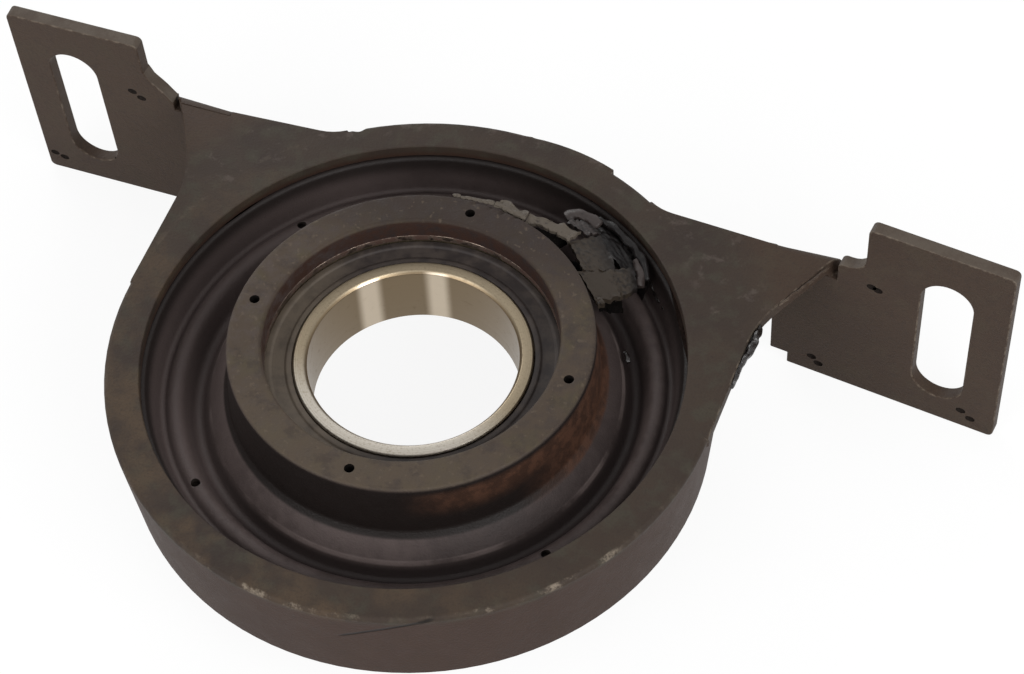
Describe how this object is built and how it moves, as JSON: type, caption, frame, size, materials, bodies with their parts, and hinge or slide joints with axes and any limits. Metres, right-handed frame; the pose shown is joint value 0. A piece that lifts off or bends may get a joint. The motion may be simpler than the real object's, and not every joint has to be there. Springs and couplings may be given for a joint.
{
  "type": "driveshaft centre bearing",
  "caption": "Driveshaft centre bearing: sealed ball bearing in a folded rubber mount, bonded into a round steel bracket with slotted ears.",
  "frame": {"origin": "on the shaft axis, at the middle of the bearing's width", "axes": "+Z along the shaft axis out of the open front, +X along the two ears, +Y towards the vehicle floor that the ears bolt to"},
  "size_m": [0.2087, 0.1162, 0.0492],
  "materials": {
    "bracket_steel": "dark brown-grey phosphated steel, satin, worn along the edges",
    "mount_rubber": "aged black rubber with a grey bloom",
    "sleeve_steel": "pressed steel, dull",
    "race_steel": "ground bearing steel",
    "seal_rubber": "smooth black rubber",
    "cage_steel": "pressed steel",
    "ball_steel": "polished"
  },
  "bodies": {
    "bracket_unit": {"bracket": "bracket_steel", "rubber_mount": "mount_rubber", "carrier_sleeve": "sleeve_steel", "outer_race": "race_steel", "front_seal": "seal_rubber", "rear_seal": "seal_rubber"},
    "shaft_ring": {"inner_race": "race_steel"},
    "cage": {"cage_front": "cage_steel", "cage_rear": "cage_steel", "cage_rivets": "cage_steel"},
    "rolling_ball_01": {"ball_01": "ball_steel"},
    "rolling_ball_02": {"ball_02": "ball_steel"},
    "rolling_ball_03": {"ball_03": "ball_steel"},
    "rolling_ball_04": {"ball_04": "ball_steel"},
    "rolling_ball_05": {"ball_05": "ball_steel"},
    "rolling_ball_06": {"ball_06": "ball_steel"},
    "rolling_ball_07": {"ball_07": "ball_steel"},
    "rolling_ball_08": {"ball_08": "ball_steel"},
    "rolling_ball_09": {"ball_09": "ball_steel"},
    "rolling_ball_10": {"ball_10": "ball_steel"},
    "rolling_ball_11": {"ball_11": "ball_steel"},
    "rolling_ball_12": {"ball_12": "ball_steel"},
    "rolling_ball_13": {"ball_13": "ball_steel"},
    "rolling_ball_14": {"ball_14": "ball_steel"}
  },
  "joints": [
    {"name": "shaft_spin", "type": "hinge", "parent": "bracket_unit", "child": "shaft_ring", "pos_m": [0, 0, 0], "axis": [0, 0, 1], "continuous": true},
    {"name": "cage_orbit", "type": "hinge", "parent": "bracket_unit", "child": "cage", "pos_m": [0, 0, 0], "axis": [0, 0, 1], "continuous": true},
    {"name": "ball_01_roll", "type": "hinge", "parent": "cage", "child": "rolling_ball_01", "pos_m": [0.0255, 0, 0], "axis": [0, 0, 1], "continuous": true},
    {"name": "ball_02_roll", "type": "hinge", "parent": "cage", "child": "rolling_ball_02", "pos_m": [0.02297, 0.01106, 0], "axis": [0, 0, 1], "continuous": true},
    {"name": "ball_03_roll", "type": "hinge", "parent": "cage", "child": "rolling_ball_03", "pos_m": [0.0159, 0.01994, 0], "axis": [0, 0, 1], "continuous": true},
    {"name": "ball_04_roll", "type": "hinge", "parent": "cage", "child": "rolling_ball_04", "pos_m": [0.00567, 0.02486, 0], "axis": [0, 0, 1], "continuous": true},
    {"name": "ball_05_roll", "type": "hinge", "parent": "cage", "child": "rolling_ball_05", "pos_m": [-0.00567, 0.02486, 0], "axis": [0, 0, 1], "continuous": true},
    {"name": "ball_06_roll", "type": "hinge", "parent": "cage", "child": "rolling_ball_06", "pos_m": [-0.0159, 0.01994, 0], "axis": [0, 0, 1], "continuous": true},
    {"name": "ball_07_roll", "type": "hinge", "parent": "cage", "child": "rolling_ball_07", "pos_m": [-0.02297, 0.01106, 0], "axis": [0, 0, 1], "continuous": true},
    {"name": "ball_08_roll", "type": "hinge", "parent": "cage", "child": "rolling_ball_08", "pos_m": [-0.0255, 0, 0], "axis": [0, 0, 1], "continuous": true},
    {"name": "ball_09_roll", "type": "hinge", "parent": "cage", "child": "rolling_ball_09", "pos_m": [-0.02297, -0.01106, 0], "axis": [0, 0, 1], "continuous": true},
    {"name": "ball_10_roll", "type": "hinge", "parent": "cage", "child": "rolling_ball_10", "pos_m": [-0.0159, -0.01994, 0], "axis": [0, 0, 1], "continuous": true},
    {"name": "ball_11_roll", "type": "hinge", "parent": "cage", "child": "rolling_ball_11", "pos_m": [-0.00567, -0.02486, 0], "axis": [0, 0, 1], "continuous": true},
    {"name": "ball_12_roll", "type": "hinge", "parent": "cage", "child": "rolling_ball_12", "pos_m": [0.00567, -0.02486, 0], "axis": [0, 0, 1], "continuous": true},
    {"name": "ball_13_roll", "type": "hinge", "parent": "cage", "child": "rolling_ball_13", "pos_m": [0.0159, -0.01994, 0], "axis": [0, 0, 1], "continuous": true},
    {"name": "ball_14_roll", "type": "hinge", "parent": "cage", "child": "rolling_ball_14", "pos_m": [0.02297, -0.01106, 0], "axis": [0, 0, 1], "continuous": true}
  ],
  "couplings": [
    {"joint": "cage_orbit", "follows": "shaft_spin", "ratio": 0.43529},
    {"joint": "ball_01_roll", "follows": "shaft_spin", "ratio": -3.7989},
    {"joint": "ball_02_roll", "follows": "shaft_spin", "ratio": -3.7989},
    {"joint": "ball_03_roll", "follows": "shaft_spin", "ratio": -3.7989},
    {"joint": "ball_04_roll", "follows": "shaft_spin", "ratio": -3.7989},
    {"joint": "ball_05_roll", "follows": "shaft_spin", "ratio": -3.7989},
    {"joint": "ball_06_roll", "follows": "shaft_spin", "ratio": -3.7989},
    {"joint": "ball_07_roll", "follows": "shaft_spin", "ratio": -3.7989},
    {"joint": "ball_08_roll", "follows": "shaft_spin", "ratio": -3.7989},
    {"joint": "ball_09_roll", "follows": "shaft_spin", "ratio": -3.7989},
    {"joint": "ball_10_roll", "follows": "shaft_spin", "ratio": -3.7989},
    {"joint": "ball_11_roll", "follows": "shaft_spin", "ratio": -3.7989},
    {"joint": "ball_12_roll", "follows": "shaft_spin", "ratio": -3.7989},
    {"joint": "ball_13_roll", "follows": "shaft_spin", "ratio": -3.7989},
    {"joint": "ball_14_roll", "follows": "shaft_spin", "ratio": -3.7989}
  ]
}
